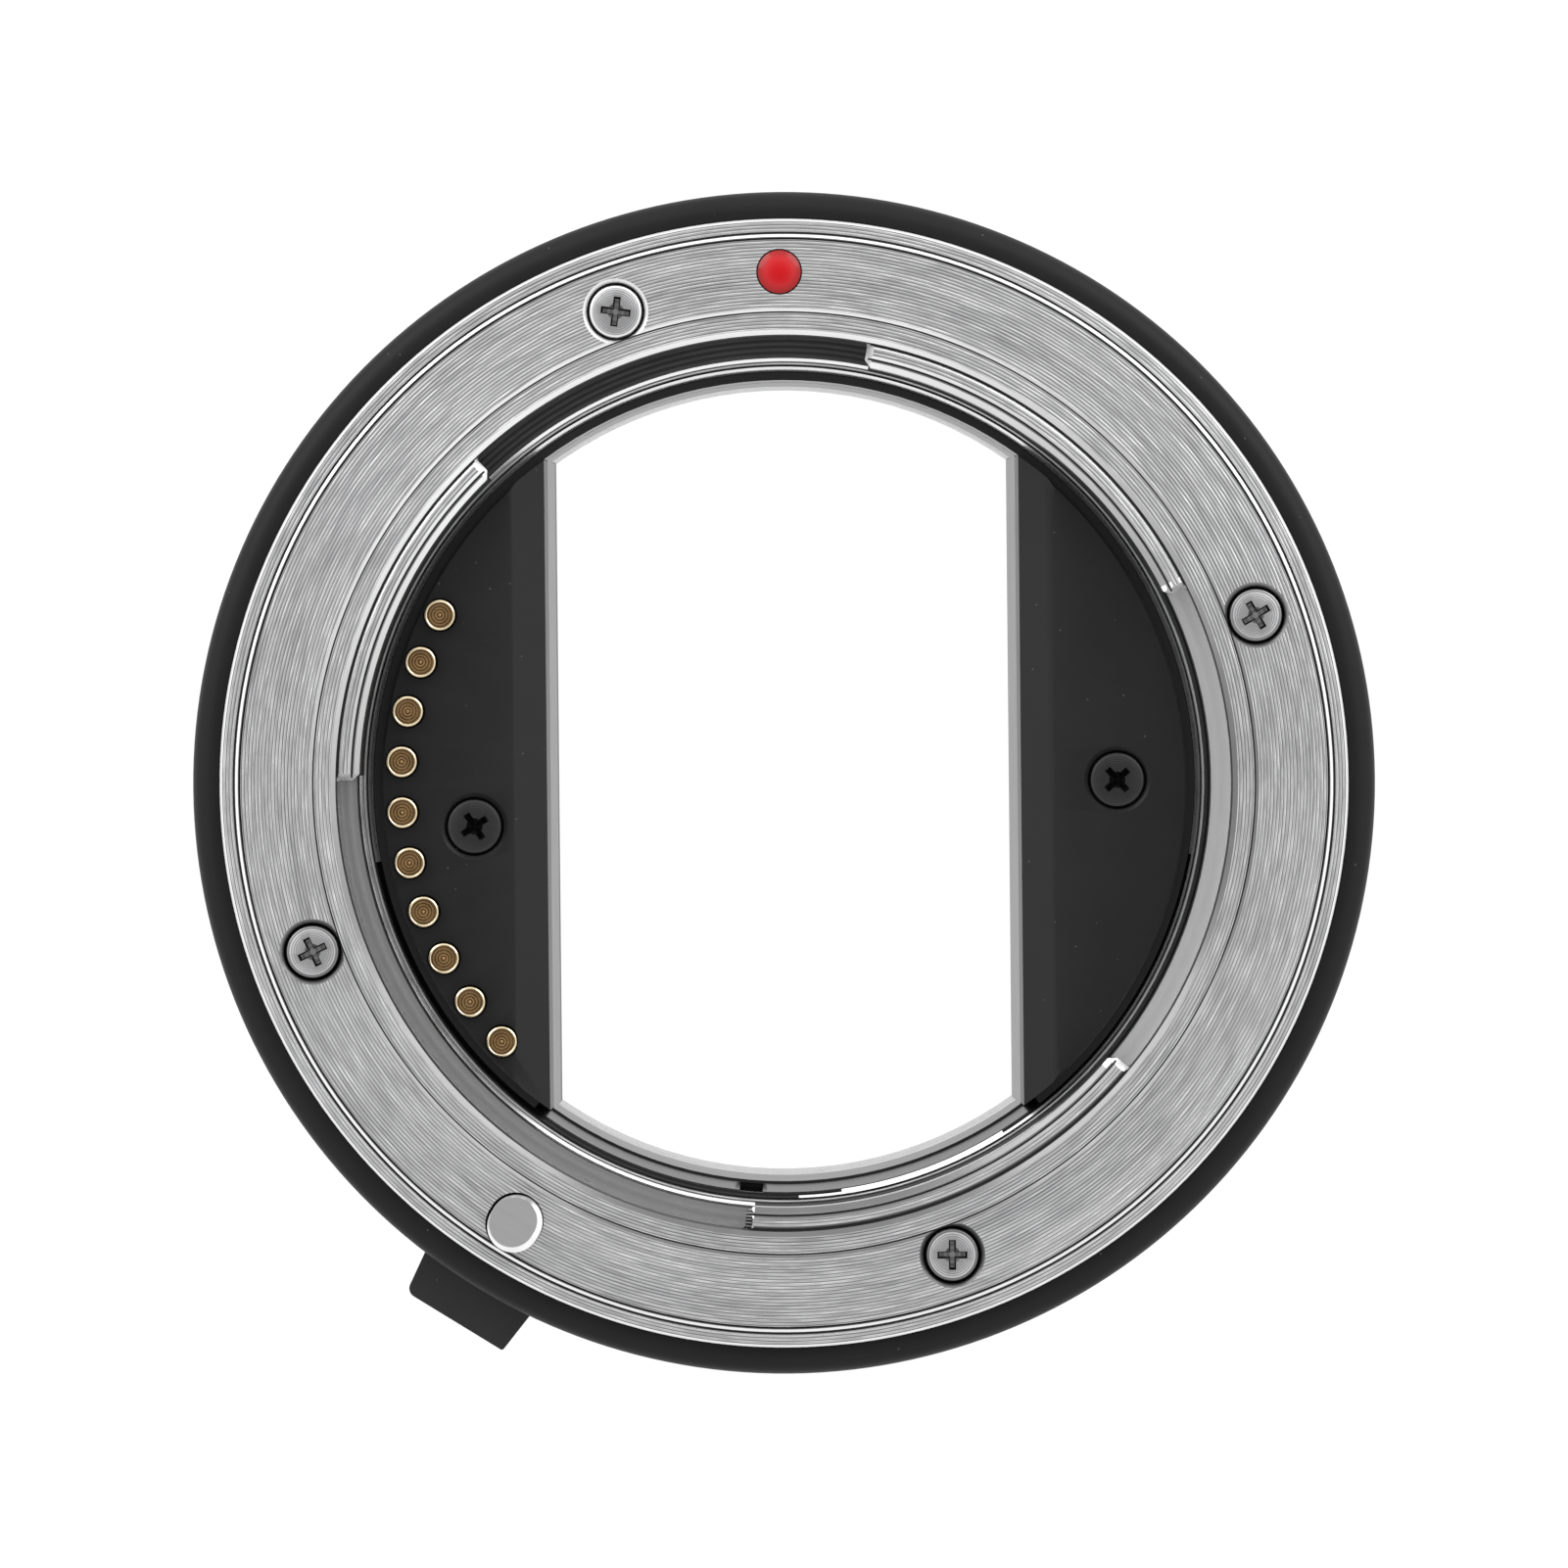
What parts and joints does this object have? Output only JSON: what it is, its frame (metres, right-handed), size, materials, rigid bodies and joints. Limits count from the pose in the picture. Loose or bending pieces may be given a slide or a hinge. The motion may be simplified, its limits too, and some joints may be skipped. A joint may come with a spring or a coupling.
{
  "type": "macro extension tube",
  "caption": "Short metal-mount macro extension tube with bayonets at both ends, passed-through sprung contacts and a lens release slider.",
  "frame": {"origin": "centre of the rear spigot's end, on the optical axis, where the tube stands", "axes": "+Z along the optical axis towards the lens, +Y towards the index dot of the lens mount"},
  "size_m": [0.061, 0.061, 0.0217],
  "materials": {
    "mount_metal": "lathe-turned, bare metal with concentric tool marks",
    "bright_metal": "fine turned",
    "barrel_black": "satin black anodised",
    "liner_black": "moulded, matt",
    "panel_black": "moulded, satin",
    "slider_black": "moulded, satin",
    "screw_steel": "satin",
    "screw_black": "blackened steel",
    "spring_steel": "smooth rolled",
    "pin_steel": "ground",
    "contact_gold": "gilt",
    "dot_red": "glossy enamel",
    "board": "solder mask",
    "flex": "polyimide film"
  },
  "bodies": {
    "tube": {"baffle_screw": "screw_black", "barrel": "barrel_black", "barrel_index_dot": "dot_red", "camera_mount_ring": "mount_metal", "camera_mount_screw_1": "screw_steel", "camera_mount_screw_2": "screw_steel", "camera_mount_screw_3": "screw_steel", "camera_mount_screw_4": "screw_steel", "contact_block_screw": "screw_black", "contact_board": "board", "contact_flex": "flex", "contact_spring_1": "spring_steel", "contact_spring_10": "spring_steel", "contact_spring_2": "spring_steel", "contact_spring_3": "spring_steel", "contact_spring_4": "spring_steel", "contact_spring_5": "spring_steel", "contact_spring_6": "spring_steel", "contact_spring_7": "spring_steel", "contact_spring_8": "spring_steel", "contact_spring_9": "spring_steel", "front_baffle": "panel_black", "front_contact_block": "panel_black", "index_dot": "dot_red", "lens_mount_ring": "mount_metal", "lens_mount_screw_1": "screw_steel", "lens_mount_screw_2": "screw_steel", "lens_mount_screw_3": "screw_steel", "lens_mount_screw_4": "screw_steel", "lock_spring": "spring_steel", "mount_leaf_spring_1": "spring_steel", "mount_leaf_spring_2": "spring_steel", "rear_block_screw_1": "screw_black", "rear_block_screw_2": "screw_black", "rear_contact_block": "panel_black", "rear_contact_pads": "contact_gold", "throat_liner": "liner_black", "throat_ring": "bright_metal"},
    "release": {"release_slider": "slider_black", "lock_pin": "pin_steel"},
    "pin_1": {"contact_pin_1": "contact_gold"},
    "pin_2": {"contact_pin_2": "contact_gold"},
    "pin_3": {"contact_pin_3": "contact_gold"},
    "pin_4": {"contact_pin_4": "contact_gold"},
    "pin_5": {"contact_pin_5": "contact_gold"},
    "pin_6": {"contact_pin_6": "contact_gold"},
    "pin_7": {"contact_pin_7": "contact_gold"},
    "pin_8": {"contact_pin_8": "contact_gold"},
    "pin_9": {"contact_pin_9": "contact_gold"},
    "pin_10": {"contact_pin_10": "contact_gold"}
  },
  "joints": [
    {"name": "release_slide", "type": "slide", "parent": "tube", "child": "release", "axis": [0, 0, -1], "range_m": [0, 0.0016], "stiffness_N_per_m": 300, "springref_m": -0.002, "deforming": ["lock_spring"]},
    {"name": "contact_pin_1_press", "type": "slide", "parent": "tube", "child": "pin_1", "axis": [0, 0, -1], "range_m": [0, 0.0006], "stiffness_N_per_m": 500, "springref_m": -0.0006, "deforming": ["contact_spring_1"]},
    {"name": "contact_pin_2_press", "type": "slide", "parent": "tube", "child": "pin_2", "axis": [0, 0, -1], "range_m": [0, 0.0006], "stiffness_N_per_m": 500, "springref_m": -0.0006, "deforming": ["contact_spring_2"]},
    {"name": "contact_pin_3_press", "type": "slide", "parent": "tube", "child": "pin_3", "axis": [0, 0, -1], "range_m": [0, 0.0006], "stiffness_N_per_m": 500, "springref_m": -0.0006, "deforming": ["contact_spring_3"]},
    {"name": "contact_pin_4_press", "type": "slide", "parent": "tube", "child": "pin_4", "axis": [0, 0, -1], "range_m": [0, 0.0006], "stiffness_N_per_m": 500, "springref_m": -0.0006, "deforming": ["contact_spring_4"]},
    {"name": "contact_pin_5_press", "type": "slide", "parent": "tube", "child": "pin_5", "axis": [0, 0, -1], "range_m": [0, 0.0006], "stiffness_N_per_m": 500, "springref_m": -0.0006, "deforming": ["contact_spring_5"]},
    {"name": "contact_pin_6_press", "type": "slide", "parent": "tube", "child": "pin_6", "axis": [0, 0, -1], "range_m": [0, 0.0006], "stiffness_N_per_m": 500, "springref_m": -0.0006, "deforming": ["contact_spring_6"]},
    {"name": "contact_pin_7_press", "type": "slide", "parent": "tube", "child": "pin_7", "axis": [0, 0, -1], "range_m": [0, 0.0006], "stiffness_N_per_m": 500, "springref_m": -0.0006, "deforming": ["contact_spring_7"]},
    {"name": "contact_pin_8_press", "type": "slide", "parent": "tube", "child": "pin_8", "axis": [0, 0, -1], "range_m": [0, 0.0006], "stiffness_N_per_m": 500, "springref_m": -0.0006, "deforming": ["contact_spring_8"]},
    {"name": "contact_pin_9_press", "type": "slide", "parent": "tube", "child": "pin_9", "axis": [0, 0, -1], "range_m": [0, 0.0006], "stiffness_N_per_m": 500, "springref_m": -0.0006, "deforming": ["contact_spring_9"]},
    {"name": "contact_pin_10_press", "type": "slide", "parent": "tube", "child": "pin_10", "axis": [0, 0, -1], "range_m": [0, 0.0006], "stiffness_N_per_m": 500, "springref_m": -0.0006, "deforming": ["contact_spring_10"]}
  ]
}
